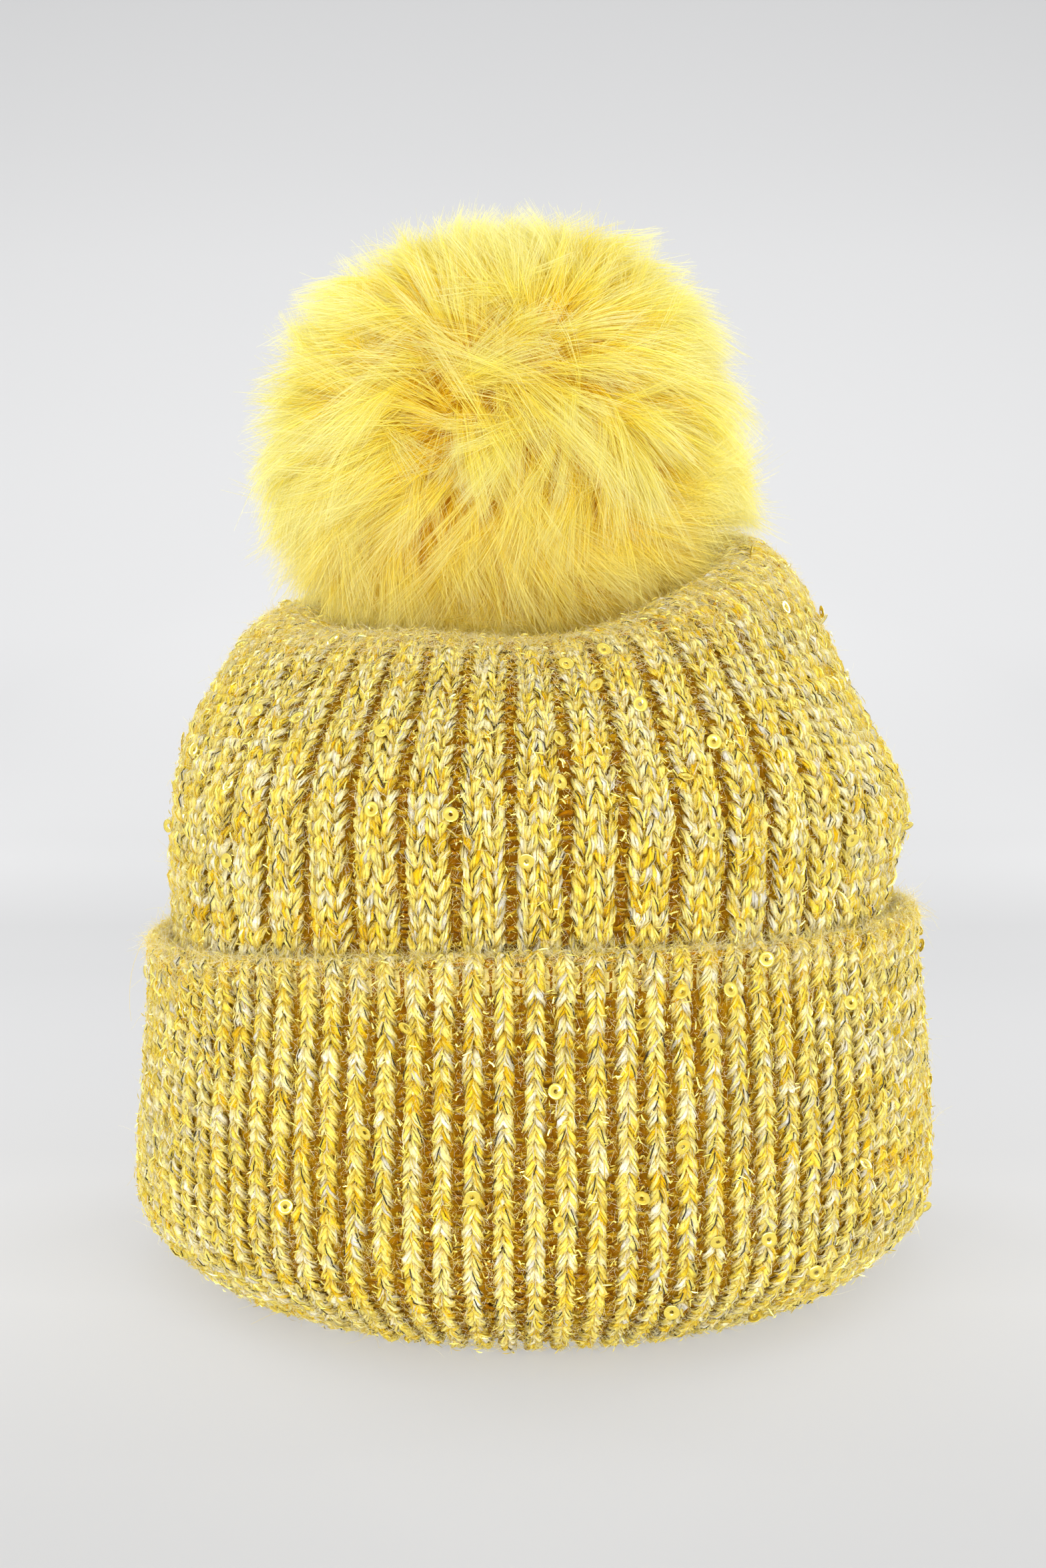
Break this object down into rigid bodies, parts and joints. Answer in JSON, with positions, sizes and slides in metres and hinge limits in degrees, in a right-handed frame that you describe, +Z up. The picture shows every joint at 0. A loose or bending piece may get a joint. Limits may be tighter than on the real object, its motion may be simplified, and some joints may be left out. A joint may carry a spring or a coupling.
{
  "type": "knit beanie",
  "caption": "Bulky ribbed knit beanie with a deep turned-up brim, sequins in the yarn and a removable faux-fur pom-pom on a press stud.",
  "frame": {"origin": "centre of the ring on which the folded brim rests, on the resting plane", "axes": "+Z up towards the pom-pom, -Y towards the front of the hat, +X towards the wearer's left, back seam at +Y"},
  "size_m": [0.1962, 0.2092, 0.252],
  "materials": {
    "knit_yarn": "melange wool-blend knit, fuzzy",
    "fur_pile": "long soft pile",
    "pelt_backing": "knitted backing",
    "filling": "loose fibre",
    "sequin_film": "metallised, glossy",
    "thread": "twisted",
    "label_tape": "woven satin",
    "snap_metal": "nickel-gold plated",
    "disc_plastic": "moulded"
  },
  "bodies": {
    "hat": {"brim_turn_up": "knit_yarn", "brim_inner_layer": "knit_yarn", "brim_fold": "knit_yarn", "brim_rolled_edge": "knit_yarn", "brim_sequins": "sequin_film", "brim_tack_stitches": "thread", "brim_back_seam": "knit_yarn", "care_label": "label_tape", "care_label_stitches": "thread", "crown_side_knit": "knit_yarn", "crown_top_knit": "knit_yarn", "crown_gather_thread": "thread", "crown_back_seam": "knit_yarn", "crown_sequins": "sequin_film"},
    "stud_disc": {"stud_backing_disc": "disc_plastic"},
    "stud": {"stud_thread_shank": "thread", "stud_base": "snap_metal"},
    "snap_spring": {"socket_spring": "snap_metal"},
    "pom": {"socket_cap": "snap_metal", "pom_fur": "fur_pile", "pom_backing": "pelt_backing", "pom_stuffing": "filling", "pom_gather_thread": "thread", "pom_sewing_thread": "thread"}
  },
  "joints": [
    {"name": "rock_fore_aft", "type": "hinge", "parent": "hat", "child": "stud_disc", "pos_m": [-0.006, -0.005, 0.1395], "axis": [1, 0, 0], "range_deg": [-5, 5], "stiffness_Nm_per_rad": 0.3},
    {"name": "rock_sideways", "type": "hinge", "parent": "stud_disc", "child": "stud", "pos_m": [-0.006, -0.005, 0.1395], "axis": [0, 1, 0], "range_deg": [-5, 5], "stiffness_Nm_per_rad": 0.3},
    {"name": "snap_off", "type": "slide", "parent": "stud", "child": "snap_spring", "axis": [0, 0, 1], "range_m": [0, 0.03]},
    {"name": "pom_twist", "type": "hinge", "parent": "snap_spring", "child": "pom", "pos_m": [-0.006, -0.005, 0.1462], "axis": [0, 0, 1], "continuous": true}
  ]
}
